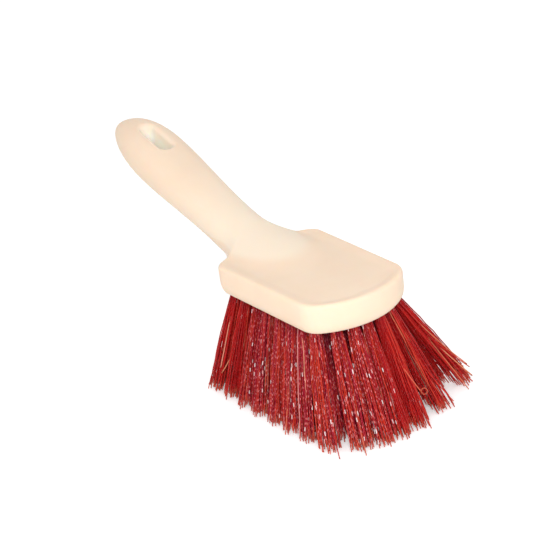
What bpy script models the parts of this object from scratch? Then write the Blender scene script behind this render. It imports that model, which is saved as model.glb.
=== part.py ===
# Acid brush: a short hand brush for scrubbing with acids and cleaners.
# The block and its handle are one moulding. Each tuft is a bundle of filament, folded
# over a flat wire anchor and driven into a blind hole in the underside of the head.
# Metres. The origin is the middle of the head's flat top, +X points to the nose.
import math
import random

import bmesh
import bpy
from mathutils import Vector

# Head of the block
HEAD_LENGTH = 0.085
HEAD_BACK_WIDTH = 0.060
HEAD_NOSE_WIDTH = 0.057
HEAD_THICKNESS = 0.0146
NOSE_BOW = 0.012
NOSE_CORNER_RADIUS = 0.012
SHOULDER_RADIUS = 0.0078
SHOULDER_TURN = math.radians(64)
TOP_EDGE_RUN = 0.0015
TOP_EDGE_HEIGHT = 0.0021
UNDER_EDGE_RUN = 0.0028
UNDER_EDGE_HEIGHT = 0.0066

# Handle, which rises from the back of the head
HANDLE_REACH = 0.131
HANDLE_WAIST_WIDTH = 0.0268
HANDLE_BELLY_WIDTH = 0.0322
HANDLE_END_RUN = 0.040
HANDLE_END_DROOP = 0.0030
HANDLE_WAIST_SETBACK = 0.0285
HANDLE_RISE_ANGLE = math.radians(18.4)
HANDLE_AXIS_DROP = 0.0059
HANDLE_THICKNESS_SHARE = 0.74
HANDLE_SQUARENESS = 2.3
SHOULDER_ROUND_SHARE = 0.04
UNDERSIDE_BLEND = 0.002

# Crowned ridge that carries the handle's back onto the head, and flattens towards its foot
RIDGE_REACH = 0.0335
RIDGE_ANGLE = math.radians(10.8)
RIDGE_NECK_RADIUS = 0.028
RIDGE_FOOT_RADIUS = 0.065
RIDGE_NECK_SETBACK = 0.0075
RIDGE_NECK_BLEND = 0.0025
RIDGE_FOOT_BLEND = 0.0012

# Hang slot, through the handle in the direction in which the mould opens
SLOT_LENGTH = 0.025
SLOT_WIDTH = 0.0076
SLOT_SETBACK = 0.0935

# Blind holes for the tufts
TUFT_ROWS = 8
TUFT_COLUMNS = 7
TUFT_MARGIN = 0.0063
TUFT_BACK_MARGIN = 0.0087
HOLE_RADIUS = 0.0026
HOLE_DEPTH = 0.0095
HOLE_SIDES = 8

# Fan of the tufts, as the angles of the outer tufts to the head's normal. It is less
# at the corners, but towards the nose's far corner the tufts have been splayed by use.
BACK_FAN_ANGLE = math.radians(13)
NOSE_FAN_ANGLE = math.radians(22)
SIDE_FAN_ANGLE = math.radians(12)
FILL_LEAN_ANGLE = math.radians(-1.5)
CORNER_LOSS_SHARE = 0.3
SPLAY_ANGLE = math.radians(21)

# Tufts: the fill stands this far below the head, and is trimmed flat
TRIM_LENGTH = 0.0508
ROOT_CLEARANCE = 0.0003
ROOT_STAND_OUT = 0.0010
ROOT_SIDES = 6
FOLD_SHARE = 0.72
STRANDS_ROUND_TUFT = 6
STRAND_RADIUS = 0.00055
STRAND_SIDES = 3
STRAND_OVERLAP = 0.0006
STRAND_ROOT_SHARE = 0.58
TIP_SPREAD = 0.0041
RAGGED_LENGTH = 0.0030
RAGGED_SHARE = 0.45
RAGGED_SEED = 7

# Flat wire anchor in the fold of each tuft
ANCHOR_HEIGHT = 0.0018
ANCHOR_THICKNESS = 0.0005
ANCHOR_FOLD_INSET = 0.0005

# Fineness of the moulded surface, in steps
END_STEPS = 8
BODY_STEPS = 7
NECK_STEPS = 8
SHOULDER_STEPS = 4
SIDE_STEPS = 4
CORNER_STEPS = 4
NOSE_STEPS = 5
EDGE_STEPS = 5
INNER_STEPS = 4
SLOT_END_STEPS = 8

MERGE_DISTANCE = 0.000001
CUT_OVERRUN = 0.004
QUARTER = math.pi / 2
SHARP_ANGLE = math.radians(40)

# Places that follow from the sizes
NOSE_X = HEAD_LENGTH / 2
BACK_X = -HEAD_LENGTH / 2
TIP_X = BACK_X - HANDLE_REACH
BELLY_X = TIP_X + HANDLE_END_RUN
SHOULDER_X = BACK_X + SHOULDER_RADIUS
SHOULDER_Y = HEAD_BACK_WIDTH / 2 - SHOULDER_RADIUS
SHOULDER_START_Y = SHOULDER_Y + SHOULDER_RADIUS * math.cos(SHOULDER_TURN)
NECK_RADIUS = (SHOULDER_START_Y - HANDLE_WAIST_WIDTH / 2) / (1 - math.cos(SHOULDER_TURN))
NECK_X = SHOULDER_X - (SHOULDER_RADIUS + NECK_RADIUS) * math.sin(SHOULDER_TURN)
NOSE_HALF = HEAD_NOSE_WIDTH / 2
NOSE_RADIUS = (NOSE_HALF ** 2 + NOSE_BOW ** 2) / (2 * NOSE_BOW)
NOSE_CENTRE_X = NOSE_X - NOSE_RADIUS
CORNER_Y = NOSE_HALF - NOSE_CORNER_RADIUS
CORNER_X = NOSE_CENTRE_X + math.sqrt((NOSE_RADIUS - NOSE_CORNER_RADIUS) ** 2 - CORNER_Y ** 2)
CORNER_END_ANGLE = math.atan2(CORNER_Y, CORNER_X - NOSE_CENTRE_X)
HOLE_FLAT = HOLE_RADIUS * math.cos(math.pi / HOLE_SIDES)
ROOT_RADIUS = HOLE_FLAT - ROOT_CLEARANCE


def mix(first, second, share):
    return first + (second - first) * share


def ease(share):
    share = min(max(share, 0), 1)
    return share * share * (3 - 2 * share)


def smooth_max(first, second, blend):
    # the larger of two heights, with a fillet where they lie within the blend
    near = max(blend - abs(first - second), 0)
    return max(first, second) + near * near / (4 * blend)


def handle_half_width(x):
    waist = HANDLE_WAIST_WIDTH / 2
    belly = HANDLE_BELLY_WIDTH / 2
    if x <= BELLY_X:
        run = (BELLY_X - x) / HANDLE_END_RUN
        return belly * math.sqrt(max(1 - run * run, 0))
    waist_x = BACK_X - HANDLE_WAIST_SETBACK
    return mix(waist, belly, ease((waist_x - x) / (waist_x - BELLY_X)))


def axis_height(x):
    # a straight rise, which eases off towards the handle's end
    end_share = max(BELLY_X - x, 0) / HANDLE_END_RUN
    rise = (BACK_X - x) * math.tan(HANDLE_RISE_ANGLE)
    return rise - HANDLE_AXIS_DROP - HANDLE_END_DROOP * end_share ** 3


def handle_half_height(x):
    return HANDLE_THICKNESS_SHARE * handle_half_width(x) / math.cos(HANDLE_RISE_ANGLE)


def top_height(x, y, roundness):
    # the handle's back, then the crowned ridge that runs out on the head, then its flat top
    ridge = (BACK_X + RIDGE_REACH - x) * math.tan(RIDGE_ANGLE)
    crest = smooth_max(axis_height(x) + handle_half_height(x), ridge, RIDGE_NECK_BLEND)
    along = (x - BACK_X + RIDGE_NECK_SETBACK) / (RIDGE_REACH + RIDGE_NECK_SETBACK)
    radius = mix(RIDGE_NECK_RADIUS, RIDGE_FOOT_RADIUS, ease(along))
    crown = (1 - roundness ** 3) * y * y / (2 * radius)
    return smooth_max(crest - crown, 0, RIDGE_FOOT_BLEND)


def under_height(x):
    return smooth_max(axis_height(x) - handle_half_height(x), -HEAD_THICKNESS, UNDERSIDE_BLEND)


def half_outline():
    # Ribs round one half of the plan, from the handle's end to the nose. Each holds a
    # point of the outline, its inward direction, the rib's foot on the centre line and
    # how far the section is a round handle (1) or a flat head with rounded edges (0).
    ribs = []
    belly = HANDLE_BELLY_WIDTH / 2
    waist = HANDLE_WAIST_WIDTH / 2
    inward = Vector((0, -1))
    for step in range(END_STEPS):
        angle = QUARTER * step / END_STEPS
        x = TIP_X + HANDLE_END_RUN * (1 - math.cos(angle))
        ribs.append((Vector((x, belly * math.sin(angle))), inward, x, 1))
    for step in range(BODY_STEPS):
        x = mix(BELLY_X, NECK_X, step / BODY_STEPS)
        ribs.append((Vector((x, handle_half_width(x))), inward, x, 1))
    for step in range(NECK_STEPS):
        share = step / NECK_STEPS
        angle = SHOULDER_TURN * share
        inner = Vector((math.sin(angle), -math.cos(angle)))
        point = Vector((NECK_X, waist + NECK_RADIUS)) + inner * NECK_RADIUS
        foot = point.x + ease(share) * SHOULDER_RADIUS / 2
        ribs.append((point, inner, foot, mix(1, SHOULDER_ROUND_SHARE, ease(share))))
    for step in range(SHOULDER_STEPS):
        share = step / SHOULDER_STEPS
        angle = SHOULDER_TURN * (1 - share)
        inner = Vector((math.sin(angle), -math.cos(angle)))
        point = Vector((SHOULDER_X, SHOULDER_Y)) - inner * SHOULDER_RADIUS
        ribs.append((point, inner, point.x + SHOULDER_RADIUS / 2, SHOULDER_ROUND_SHARE * (1 - ease(share))))
    for step in range(SIDE_STEPS):
        share = step / SIDE_STEPS
        x = mix(SHOULDER_X, CORNER_X, share)
        y = mix(HEAD_BACK_WIDTH / 2, NOSE_HALF, share)
        ribs.append((Vector((x, y)), inward, x + (1 - share) * SHOULDER_RADIUS / 2, 0))
    fan_steps = CORNER_STEPS + NOSE_STEPS
    fan_end_x = (CORNER_X + NOSE_X) / 2
    for step in range(fan_steps + 1):
        if step < CORNER_STEPS:
            angle = mix(QUARTER, CORNER_END_ANGLE, step / CORNER_STEPS)
            centre = Vector((CORNER_X, CORNER_Y))
            radius = NOSE_CORNER_RADIUS
        else:
            angle = mix(CORNER_END_ANGLE, 0, (step - CORNER_STEPS) / NOSE_STEPS)
            centre = Vector((NOSE_CENTRE_X, 0))
            radius = NOSE_RADIUS
        outward = Vector((math.cos(angle), math.sin(angle)))
        foot = mix(CORNER_X, fan_end_x, step / fan_steps)
        ribs.append((centre + outward * radius, -outward, foot, 0))
    return ribs


def rib_side(rib, edge_run, edge_height, surface, direction):
    # One face of a rib: round the edge from the wall, then in to the centre line.
    point, inward, foot_x, roundness = rib
    foot = Vector((foot_x, 0))
    inner = (point + inward * edge_run).lerp(foot, roundness)
    drop = mix(edge_height, handle_half_height(point.x), roundness)
    power = 2 / mix(2, HANDLE_SQUARENESS, roundness)
    line = []
    for step in range(EDGE_STEPS + 1):
        angle = QUARTER * step / EDGE_STEPS
        left = 0 if step == EDGE_STEPS else math.cos(angle) ** power
        plan = inner.lerp(point, left)
        fall = drop * (1 - math.sin(angle) ** power)
        line.append(Vector((plan.x, plan.y, surface(plan) - direction * fall)))
    for step in range(1, INNER_STEPS + 1):
        plan = inner.lerp(foot, step / INNER_STEPS)
        line.append(Vector((plan.x, plan.y, surface(plan))))
    return line


def block_half_mesh():
    # A loft over the ribs of one half, open at the centre plane.
    half = bmesh.new()
    tops = []
    unders = []
    for rib in half_outline():
        roundness = rib[3]
        tops.append(rib_side(rib, TOP_EDGE_RUN, TOP_EDGE_HEIGHT,
                             lambda plan: top_height(plan.x, plan.y, roundness), 1))
        unders.append(rib_side(rib, UNDER_EDGE_RUN, UNDER_EDGE_HEIGHT,
                               lambda plan: under_height(plan.x), -1))
    top_verts = [[half.verts.new(point) for point in line] for line in tops]
    under_verts = [[half.verts.new(point) for point in line] for line in unders]
    flat = [all(abs(point.z + HEAD_THICKNESS) < MERGE_DISTANCE for point in line[EDGE_STEPS:])
            for line in unders]
    first_flat = flat.index(True)
    for index in range(len(tops) - 1):
        here, there = top_verts[index], top_verts[index + 1]
        for step in range(len(here) - 1):
            half.faces.new((here[step], there[step], there[step + 1], here[step + 1]))
        low_here, low_there = under_verts[index], under_verts[index + 1]
        half.faces.new((low_here[0], low_there[0], there[0], here[0]))
        last = EDGE_STEPS if index >= first_flat else len(low_here) - 1
        for step in range(last):
            half.faces.new((low_here[step + 1], low_there[step + 1], low_there[step], low_here[step]))
    rim = [line[EDGE_STEPS] for line in under_verts[first_flat:]]
    back = under_verts[first_flat][EDGE_STEPS + 1:]
    half.faces.new(rim + back[::-1])
    bmesh.ops.remove_doubles(half, verts=half.verts, dist=MERGE_DISTANCE)
    bmesh.ops.dissolve_degenerate(half, dist=MERGE_DISTANCE, edges=half.edges)
    bmesh.ops.recalc_face_normals(half, faces=half.faces)
    return half


def tuft_places():
    # Rows follow the bow of the nose; columns follow the taper of the head.
    places = []
    first_x = BACK_X + TUFT_BACK_MARGIN
    for column in range(TUFT_COLUMNS):
        across = 2 * column / (TUFT_COLUMNS - 1) - 1
        widest = NOSE_HALF - TUFT_MARGIN
        last_x = NOSE_CENTRE_X + math.sqrt((NOSE_RADIUS - TUFT_MARGIN) ** 2 - (across * widest) ** 2)
        for row in range(TUFT_ROWS):
            along = row / (TUFT_ROWS - 1)
            x = mix(first_x, last_x, along)
            half_width = mix(HEAD_BACK_WIDTH / 2, NOSE_HALF, min((x - BACK_X) / (CORNER_X - BACK_X), 1))
            mouth = Vector((x, across * (half_width - TUFT_MARGIN), -HEAD_THICKNESS))
            lean_x = mix(-BACK_FAN_ANGLE, NOSE_FAN_ANGLE, along) * (1 - CORNER_LOSS_SHARE * across ** 4)
            lean_y = SIDE_FAN_ANGLE * across * (1 - CORNER_LOSS_SHARE * along ** 4) + FILL_LEAN_ANGLE
            lean_y += SPLAY_ANGLE * (along * max(across, 0)) ** 3
            axis = Vector((math.tan(lean_x), math.tan(lean_y), -1)).normalized()
            places.append((row + 1, column + 1, mouth, axis))
    return places


def add_rod(mesh, start, end, radius, end_radius, sides):
    # a straight rod of flat sides from start to end
    axis = end - start
    turn = axis.to_track_quat("Z", "Y").to_matrix().to_4x4()
    turn.translation = (start + end) / 2
    bmesh.ops.create_cone(mesh, cap_ends=True, segments=sides, radius1=radius, radius2=end_radius,
                          depth=axis.length, matrix=turn)


def add_strand(mesh, start, end, phase):
    # a filament with its lower end cut level, as the trimmer leaves it
    rings = []
    across = (end - start).orthogonal().normalized()
    along = (end - start).cross(across).normalized()
    for centre, level in ((start, False), (end, True)):
        ring = []
        for side in range(STRAND_SIDES):
            angle = phase + 2 * math.pi * side / STRAND_SIDES
            offset = (across * math.cos(angle) + along * math.sin(angle)) * STRAND_RADIUS
            point = centre + offset
            if level:
                direction = (end - start).normalized()
                point -= direction * offset.z / direction.z
            ring.append(mesh.verts.new(point))
        rings.append(ring)
    faces = [mesh.faces.new(rings[0]), mesh.faces.new(rings[1])]
    for side in range(STRAND_SIDES):
        after = (side + 1) % STRAND_SIDES
        faces.append(mesh.faces.new((rings[0][side], rings[0][after], rings[1][after], rings[1][side])))
    bmesh.ops.recalc_face_normals(mesh, faces=faces)


def add_anchor(mesh, fold, axis):
    # flat wire across the fold, held by the walls of the hole
    turn = axis.to_track_quat("Z", "Y").to_matrix().to_4x4()
    turn.translation = fold
    verts = bmesh.ops.create_cube(mesh, size=1)["verts"]
    length = 2 * (HOLE_FLAT - ROOT_CLEARANCE)
    bmesh.ops.scale(mesh, vec=(length, ANCHOR_THICKNESS, ANCHOR_HEIGHT), verts=verts)
    bmesh.ops.transform(mesh, matrix=turn, verts=verts)


def finish_mesh(name, mesh, material=None):
    data = bpy.data.meshes.new(name)
    mesh.to_mesh(data)
    mesh.free()
    if material:
        data.materials.append(material)
    return data


def add_object(name, data, collection, location=(0, 0, 0)):
    item = bpy.data.objects.new(name, data)
    item.location = location
    collection.objects.link(item)
    return item


def add_cutter(name, data, collection, location=(0, 0, 0)):
    item = add_object(name, data, collection, location)
    item.hide_render = True
    item.display_type = "WIRE"
    return item


def add_boolean(item, cutter, operation):
    change = item.modifiers.new(cutter.name, "BOOLEAN")
    change.operation = operation
    change.solver = "EXACT"
    change.object = cutter


def make_material(name, colour, roughness):
    material = bpy.data.materials.new(name)
    material.use_nodes = True
    shader = material.node_tree.nodes["Principled BSDF"]
    shader.inputs["Base Color"].default_value = colour
    shader.inputs["Roughness"].default_value = roughness
    shader.inputs["Metallic"].default_value = 0
    material.diffuse_color = colour
    return material


def make_slot_cutter(collection):
    # an outline with round ends, extruded in the direction in which the mould opens
    radius = SLOT_WIDTH / 2
    middle_x = BACK_X - SLOT_SETBACK
    straight = SLOT_LENGTH / 2 - radius
    curve = bpy.data.curves.new("hang_slot_outline", "CURVE")
    curve.dimensions = "2D"
    curve.fill_mode = "BOTH"
    curve.extrude = handle_half_height(middle_x) + straight * math.tan(HANDLE_RISE_ANGLE) + CUT_OVERRUN
    spline = curve.splines.new("POLY")
    points = []
    for end in (1, -1):
        for step in range(SLOT_END_STEPS + 1):
            angle = math.pi * step / SLOT_END_STEPS - end * QUARTER
            points.append((end * straight + radius * math.cos(angle), radius * math.sin(angle), 0, 1))
    spline.points.add(len(points) - 1)
    for place, point in zip(spline.points, points):
        place.co = point
    spline.use_cyclic_u = True
    guide = bpy.data.objects.new("hang_slot_outline", curve)
    collection.objects.link(guide)
    bpy.context.view_layer.update()
    evaluated = guide.evaluated_get(bpy.context.evaluated_depsgraph_get())
    data = bpy.data.meshes.new_from_object(evaluated)
    bpy.data.objects.remove(guide)
    mesh = bmesh.new()
    mesh.from_mesh(data)
    bmesh.ops.remove_doubles(mesh, verts=mesh.verts, dist=MERGE_DISTANCE)
    bmesh.ops.recalc_face_normals(mesh, faces=mesh.faces)
    mesh.to_mesh(data)
    mesh.free()
    return add_cutter("hang_slot_cut", data, collection, (middle_x, 0, axis_height(middle_x)))


def make_hole_cutter(collection):
    mesh = bmesh.new()
    for place in tuft_places():
        mouth, axis = place[2:]
        bottom = mouth - axis * HOLE_DEPTH
        add_rod(mesh, bottom, mouth + axis * CUT_OVERRUN, HOLE_RADIUS, HOLE_RADIUS, HOLE_SIDES)
    return add_cutter("tuft_hole_cut", finish_mesh("tuft_hole_cut", mesh), collection)


def make_block(parts, cutters, material):
    data = finish_mesh("block", block_half_mesh(), material)
    data.shade_smooth()
    data.set_sharp_from_angle(angle=SHARP_ANGLE)
    block = add_object("block", data, parts)
    mirror = block.modifiers.new("mirror", "MIRROR")
    mirror.use_axis = (False, True, False)
    mirror.use_clip = True
    mirror.merge_threshold = MERGE_DISTANCE
    add_boolean(block, make_hole_cutter(cutters), "DIFFERENCE")
    add_boolean(block, make_slot_cutter(cutters), "DIFFERENCE")
    return block


def make_tuft(row, column, mouth, axis, parts, cutters, material, chance):
    name = f"tuft_{row}_{column}"
    buried = -axis * (HOLE_DEPTH - ROOT_CLEARANCE)
    root_end = axis * ROOT_STAND_OUT
    root = bmesh.new()
    add_rod(root, buried, root_end, ROOT_RADIUS * FOLD_SHARE, ROOT_RADIUS, ROOT_SIDES)
    tuft = add_object(name, finish_mesh(name, root, material), parts, mouth)

    fill = bmesh.new()
    add_anchor(fill, buried + axis * (ANCHOR_HEIGHT / 2 + ANCHOR_FOLD_INSET), axis)
    start = root_end - axis * STRAND_OVERLAP
    across = axis.orthogonal().normalized()
    along = axis.cross(across)
    reach = TRIM_LENGTH / -axis.z
    turn = chance.random() * 2 * math.pi / STRANDS_ROUND_TUFT
    for strand in range(STRANDS_ROUND_TUFT + 1):
        angle = turn + 2 * math.pi * strand / STRANDS_ROUND_TUFT
        out = across * math.cos(angle) + along * math.sin(angle)
        if strand == STRANDS_ROUND_TUFT:
            out = Vector((0, 0, 0))
        root_point = start + out * ROOT_RADIUS * STRAND_ROOT_SHARE
        tip = axis * reach + out * TIP_SPREAD
        tip += (tip - root_point) * ((-TRIM_LENGTH - tip.z) / (tip.z - root_point.z))
        if chance.random() < RAGGED_SHARE:
            shorter = RAGGED_LENGTH * chance.random()
            tip -= (tip - root_point).normalized() * shorter
        add_strand(fill, root_point, tip, angle)
    fill_name = f"fill_{row}_{column}"
    add_boolean(tuft, add_cutter(fill_name, finish_mesh(fill_name, fill), cutters, mouth), "UNION")
    return tuft


def build():
    for item in list(bpy.data.objects):
        bpy.data.objects.remove(item)
    parts = bpy.data.collections.new("acid_brush")
    cutters = bpy.data.collections.new("cutters")
    bpy.context.scene.collection.children.link(parts)
    bpy.context.scene.collection.children.link(cutters)
    cream = make_material("cream_moulding", (0.93, 0.80, 0.65, 1), 0.5)
    red = make_material("red_filament", (0.42, 0.016, 0.016, 1), 0.3)
    chance = random.Random(RAGGED_SEED)
    make_block(parts, cutters, cream)
    for row, column, mouth, axis in tuft_places():
        make_tuft(row, column, mouth, axis, parts, cutters, red, chance)


build()
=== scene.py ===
import math
import random

import bmesh
import bpy
from mathutils import Matrix, Vector


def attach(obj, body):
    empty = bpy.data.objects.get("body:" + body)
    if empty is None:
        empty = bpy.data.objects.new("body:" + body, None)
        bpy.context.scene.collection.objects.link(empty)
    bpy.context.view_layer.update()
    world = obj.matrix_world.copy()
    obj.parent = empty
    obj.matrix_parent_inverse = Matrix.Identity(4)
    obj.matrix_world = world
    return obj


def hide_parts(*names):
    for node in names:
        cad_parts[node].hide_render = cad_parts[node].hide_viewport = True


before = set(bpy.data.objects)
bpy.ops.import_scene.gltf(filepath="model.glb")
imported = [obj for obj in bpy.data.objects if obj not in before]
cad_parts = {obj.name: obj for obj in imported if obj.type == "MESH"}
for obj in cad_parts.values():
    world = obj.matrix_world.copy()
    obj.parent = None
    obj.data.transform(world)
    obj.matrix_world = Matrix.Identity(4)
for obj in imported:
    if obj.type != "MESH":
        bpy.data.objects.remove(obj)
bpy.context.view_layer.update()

print("acid brush: frame loaded, nodes", len(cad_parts))

fullTurn = 2 * math.pi
quarterTurn = math.pi / 2
mergeDistance = 0.000001
nodeGrid = {"across": 220, "down": 260, "perColumn": 4}  # how node trees are laid out


# helpers for building node trees
def pickSocket(sockets, name):
    if isinstance(name, int):
        return sockets[name]
    return next(socket for socket in sockets if socket.name == name and socket.enabled)


def addNode(tree, kind, inputs=None, **settings):
    node = tree.nodes.new(kind)
    for name, value in settings.items():
        setattr(node, name, value)
    for name, value in (inputs or {}).items():
        socket = pickSocket(node.inputs, name)
        if isinstance(value, bpy.types.NodeSocket):
            tree.links.new(value, socket)
        else:
            socket.default_value = value
    return node


def calc(tree, operation, *values):
    node = addNode(tree, "ShaderNodeMath", dict(enumerate(values)), operation=operation)
    return node.outputs[0]


def vectorCalc(tree, operation, *values, scale=None):
    inputs = dict(enumerate(values))
    if scale is not None:
        inputs["Scale"] = scale
    node = addNode(tree, "ShaderNodeVectorMath", inputs, operation=operation)
    return node.outputs["Value" if operation in ("DOT_PRODUCT", "LENGTH") else "Vector"]


def moveAlong(tree, place, direction, reach):
    return vectorCalc(tree, "ADD", place, vectorCalc(tree, "SCALE", direction, scale=reach))


def spread(tree, value, low, high, toLow=0.0, toHigh=1.0, **settings):
    # low to high becomes toLow to toHigh, and stays level outside
    node = addNode(tree, "ShaderNodeMapRange", {"Value": value, "From Min": low, "From Max": high,
                                                "To Min": toLow, "To Max": toHigh}, **settings)
    return node.outputs["Result"]


def blendColour(tree, share, first, second):
    node = addNode(tree, "ShaderNodeMix", {"Factor": share, "A": first, "B": second}, data_type="RGBA")
    return pickSocket(node.outputs, "Result")


def coordinates(tree, vector):
    return addNode(tree, "ShaderNodeSeparateXYZ", {0: vector}).outputs


def setBump(tree, shader, strength, distance, height):
    bump = addNode(tree, "ShaderNodeBump", {"Strength": strength, "Distance": distance, "Height": height})
    tree.links.new(bump.outputs["Normal"], shader.inputs["Normal"])


def newMaterial(name, surface):
    # a material whose shader has its plain values set
    material = bpy.data.materials.new(name)
    material.use_nodes = True
    shader = material.node_tree.nodes["Principled BSDF"]
    for socket, value in surface.items():
        shader.inputs[socket].default_value = value
    return material, material.node_tree, shader


def layOut(tree):
    # nodes in the order they were made, in short columns
    for index, node in enumerate(tree.nodes):
        column, place = divmod(index, nodeGrid["perColumn"])
        node.location = (nodeGrid["across"] * column, -nodeGrid["down"] * place)


# fine grain, shared by the moulding, the filament and the floor
grain = {
    "mottleDetail": 4.0,
    "mottleRoughness": 0.55,
    "mottleRange": (0.3, 0.7),  # of the noise, stretched to a mask from 0 to 1
    "pitDetail": 2.0,
    "pitRoughness": 0.6,
}


def makeGrainGroup():
    # mottling and pits of a moulded or drawn surface: a soft mask and a height
    tree = bpy.data.node_groups.new("plasticGrain", "ShaderNodeTree")
    tree.interface.new_socket(name="Vector", in_out="INPUT", socket_type="NodeSocketVector")
    for name in ("Mottle Scale", "Pit Scale", "Pit Share"):
        tree.interface.new_socket(name=name, in_out="INPUT", socket_type="NodeSocketFloat")
    for name in ("Mottle", "Height"):
        tree.interface.new_socket(name=name, in_out="OUTPUT", socket_type="NodeSocketFloat")
    inside = addNode(tree, "NodeGroupInput").outputs
    outside = addNode(tree, "NodeGroupOutput").inputs
    mottle = addNode(tree, "ShaderNodeTexNoise", {"Vector": inside["Vector"], "Scale": inside["Mottle Scale"],
                                                  "Detail": grain["mottleDetail"],
                                                  "Roughness": grain["mottleRoughness"]})
    pits = addNode(tree, "ShaderNodeTexNoise", {"Vector": inside["Vector"], "Scale": inside["Pit Scale"],
                                                "Detail": grain["pitDetail"],
                                                "Roughness": grain["pitRoughness"]})
    height = calc(tree, "MULTIPLY_ADD", pits.outputs["Fac"], inside["Pit Share"], mottle.outputs["Fac"])
    tree.links.new(spread(tree, mottle.outputs["Fac"], *grain["mottleRange"]), outside["Mottle"])
    tree.links.new(height, outside["Height"])
    layOut(tree)
    return tree


grainGroup = makeGrainGroup()


def placeGrain(tree, place, look):
    # the grain in a material, at the scales of that finish
    sizes = {"Vector": place, "Mottle Scale": look["mottleScale"], "Pit Scale": look["pitScale"],
             "Pit Share": look["pitShare"]}
    return addNode(tree, "ShaderNodeGroup", sizes, node_tree=grainGroup).outputs


def sceneObject(name, data):
    item = bpy.data.objects.new(name, data)
    bpy.context.scene.collection.objects.link(item)
    return item


# camera at the photograph's viewing angle
camera = {
    "lens": 85,
    "sensor": 36,
    "azimuth": math.radians(58.43),
    "elevation": math.radians(23.74),
    "roll": math.radians(-7.72),
    "distance": 0.6227,
    "clipStart": 0.01,
    "aim": (-0.04325, 0.00088, -0.01281),
}


def makeCamera():
    azimuth, elevation, roll = camera["azimuth"], camera["elevation"], camera["roll"]
    back = Vector((math.cos(elevation) * math.sin(azimuth), -math.cos(elevation) * math.cos(azimuth),
                   math.sin(elevation)))
    right = Vector((math.cos(azimuth), math.sin(azimuth), 0))
    up = back.cross(right)
    rolledRight = right * math.cos(roll) + up * math.sin(roll)
    rolledUp = up * math.cos(roll) - right * math.sin(roll)
    data = bpy.data.cameras.new("photoCamera")
    data.lens = camera["lens"]
    data.sensor_width = camera["sensor"]
    data.clip_start = camera["clipStart"]
    item = sceneObject("photoCamera", data)
    place = Matrix((rolledRight, rolledUp, back)).transposed().to_4x4()
    place.translation = Vector(camera["aim"]) + back * camera["distance"]
    item.matrix_world = place
    bpy.context.scene.camera = item


makeCamera()
print("acid brush: camera placed")


# moulded block and handle
block = {
    "headLength": 0.085,
    "backWidth": 0.060,
    "noseWidth": 0.057,
    "thickness": 0.0146,
    "noseBow": 0.012,
    "noseCornerRadius": 0.012,
    "shoulderRadius": 0.0078,
    "shoulderTurn": math.radians(64),
    "topEdgeRun": 0.0015,
    "topEdgeHeight": 0.0021,
    "underEdgeRun": 0.0028,
    "underEdgeHeight": 0.0066,
    "handleReach": 0.131,
    "waistWidth": 0.0268,
    "bellyWidth": 0.0322,
    "endRun": 0.040,
    "endDroop": 0.0030,
    "droopPower": 3,
    "waistSetback": 0.0285,
    "riseAngle": math.radians(18.4),
    "axisDrop": 0.0059,
    "thicknessShare": 0.74,
    "squareness": 2.3,
    "shoulderRoundShare": 0.04,
    "ridgeReach": 0.0335,
    "ridgeAngle": math.radians(10.8),
    "ridgeNeckRadius": 0.028,
    "ridgeFootRadius": 0.065,
    "ridgeNeckSetback": 0.0075,
    "ridgeNeckBlend": 0.0025,
    "ridgeFootBlend": 0.0012,
    "crownFade": 3,  # how late the crown flattens into the round handle
    "underBlend": 0.002,
    "dishDepth": 0.0008,  # shallow sink of the flat top, as thick mouldings have
    "dishWall": 0.0060,  # how far in from the edge it reaches its depth
    "endSteps": 26,
    "bodySteps": 34,
    "neckSteps": 26,
    "shoulderSteps": 10,
    "sideSteps": 18,
    "cornerSteps": 12,
    "noseSteps": 14,
    "edgeSteps": 12,
    "innerSteps": 20,
    "sharpAngle": math.radians(42),
}
slot = {
    "length": 0.025,
    "width": 0.0076,
    "setback": 0.0935,
    "endSteps": 24,
    "rimRadius": 0.0026,  # rounding of the slot's two rims
    "rimSteps": 9,
    "rimTurn": math.radians(78),  # how far the rounding turns before the cutter leaves the skin
    "flareRun": 1.35,  # in rim radii, how far out the cutter's lip is
    "flareLift": 0.12,  # and how high over the skin
    "overrun": 0.004,
}
fill = {
    "rows": 8,
    "columns": 7,
    "margin": 0.0063,
    "backMargin": 0.0087,
    "holeRadius": 0.0026,
    "holeDepth": 0.0095,
    "holeSides": 20,
    "backFan": math.radians(13),
    "noseFan": math.radians(22),
    "sideFan": math.radians(12),
    "lean": math.radians(-1.5),
    "cornerLossShare": 0.3,  # how much less the corner tufts fan
    "cornerPower": 4,
    "splay": math.radians(21),  # of the tuft at the nose's far corner, and less of those near it
    "splayPower": 3,
    "trimLength": 0.0508,
}

noseX = block["headLength"] / 2
backX = -noseX
tipX = backX - block["handleReach"]
bellyX = tipX + block["endRun"]
shoulderX = backX + block["shoulderRadius"]
shoulderY = block["backWidth"] / 2 - block["shoulderRadius"]
shoulderStartY = shoulderY + block["shoulderRadius"] * math.cos(block["shoulderTurn"])
neckRadius = (shoulderStartY - block["waistWidth"] / 2) / (1 - math.cos(block["shoulderTurn"]))
neckX = shoulderX - (block["shoulderRadius"] + neckRadius) * math.sin(block["shoulderTurn"])
noseHalf = block["noseWidth"] / 2
noseRadius = (noseHalf ** 2 + block["noseBow"] ** 2) / (2 * block["noseBow"])
noseCentreX = noseX - noseRadius
cornerY = noseHalf - block["noseCornerRadius"]
cornerX = noseCentreX + math.sqrt((noseRadius - block["noseCornerRadius"]) ** 2 - cornerY ** 2)
cornerEndAngle = math.atan2(cornerY, cornerX - noseCentreX)
slotX = backX - slot["setback"]
trimHeight = -block["thickness"] - fill["trimLength"]


def mix(first, second, share):
    return first + (second - first) * share


def ease(share):
    share = min(max(share, 0), 1)
    return share * share * (3 - 2 * share)


def smoothMax(first, second, blend):
    near = max(blend - abs(first - second), 0)
    return max(first, second) + near * near / (4 * blend)


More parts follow.
